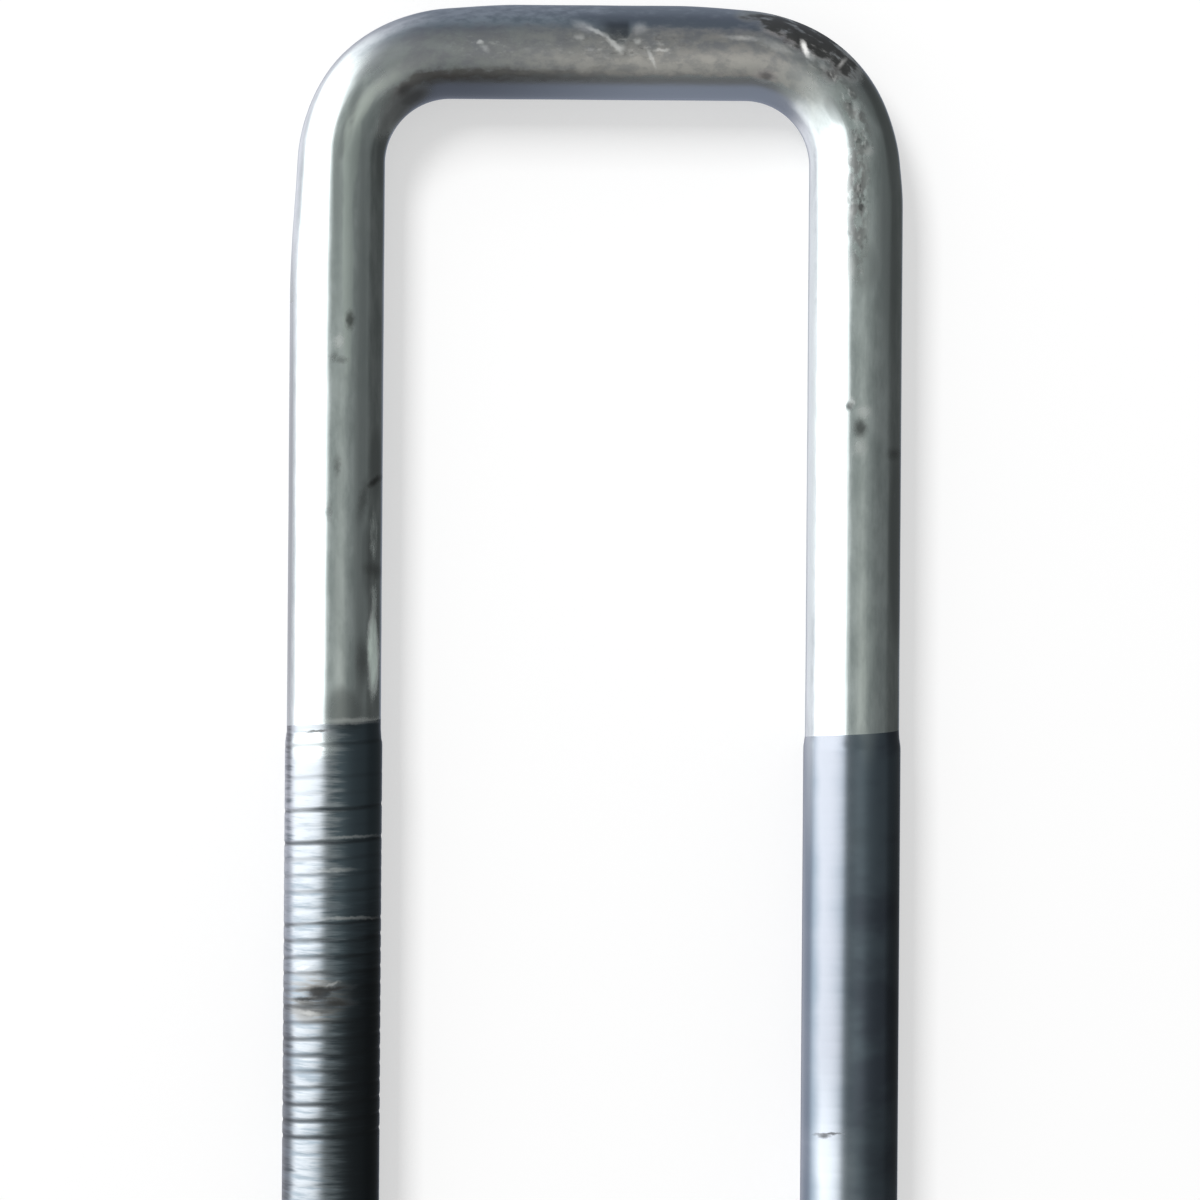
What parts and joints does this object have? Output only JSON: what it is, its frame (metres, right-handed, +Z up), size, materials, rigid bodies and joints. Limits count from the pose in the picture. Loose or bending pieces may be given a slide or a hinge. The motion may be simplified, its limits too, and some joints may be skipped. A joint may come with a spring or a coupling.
{
  "type": "square u-bolt",
  "caption": "Square U-bolt bent from one round bar, with a straight crown, parallel legs and threaded ends, that clamps a square tube or strut to a plate.",
  "frame": {"origin": "centre of the part's box, on the surface it lies on", "axes": "+X across the legs, +Y along the legs towards the crown, +Z up from the surface"},
  "size_m": [0.0604, 0.1234, 0.0095],
  "materials": {
    "zinc_steel": "zinc plated, stained and scuffed"
  },
  "bodies": {
    "root": {"u_bolt": "zinc_steel"}
  },
  "joints": []
}
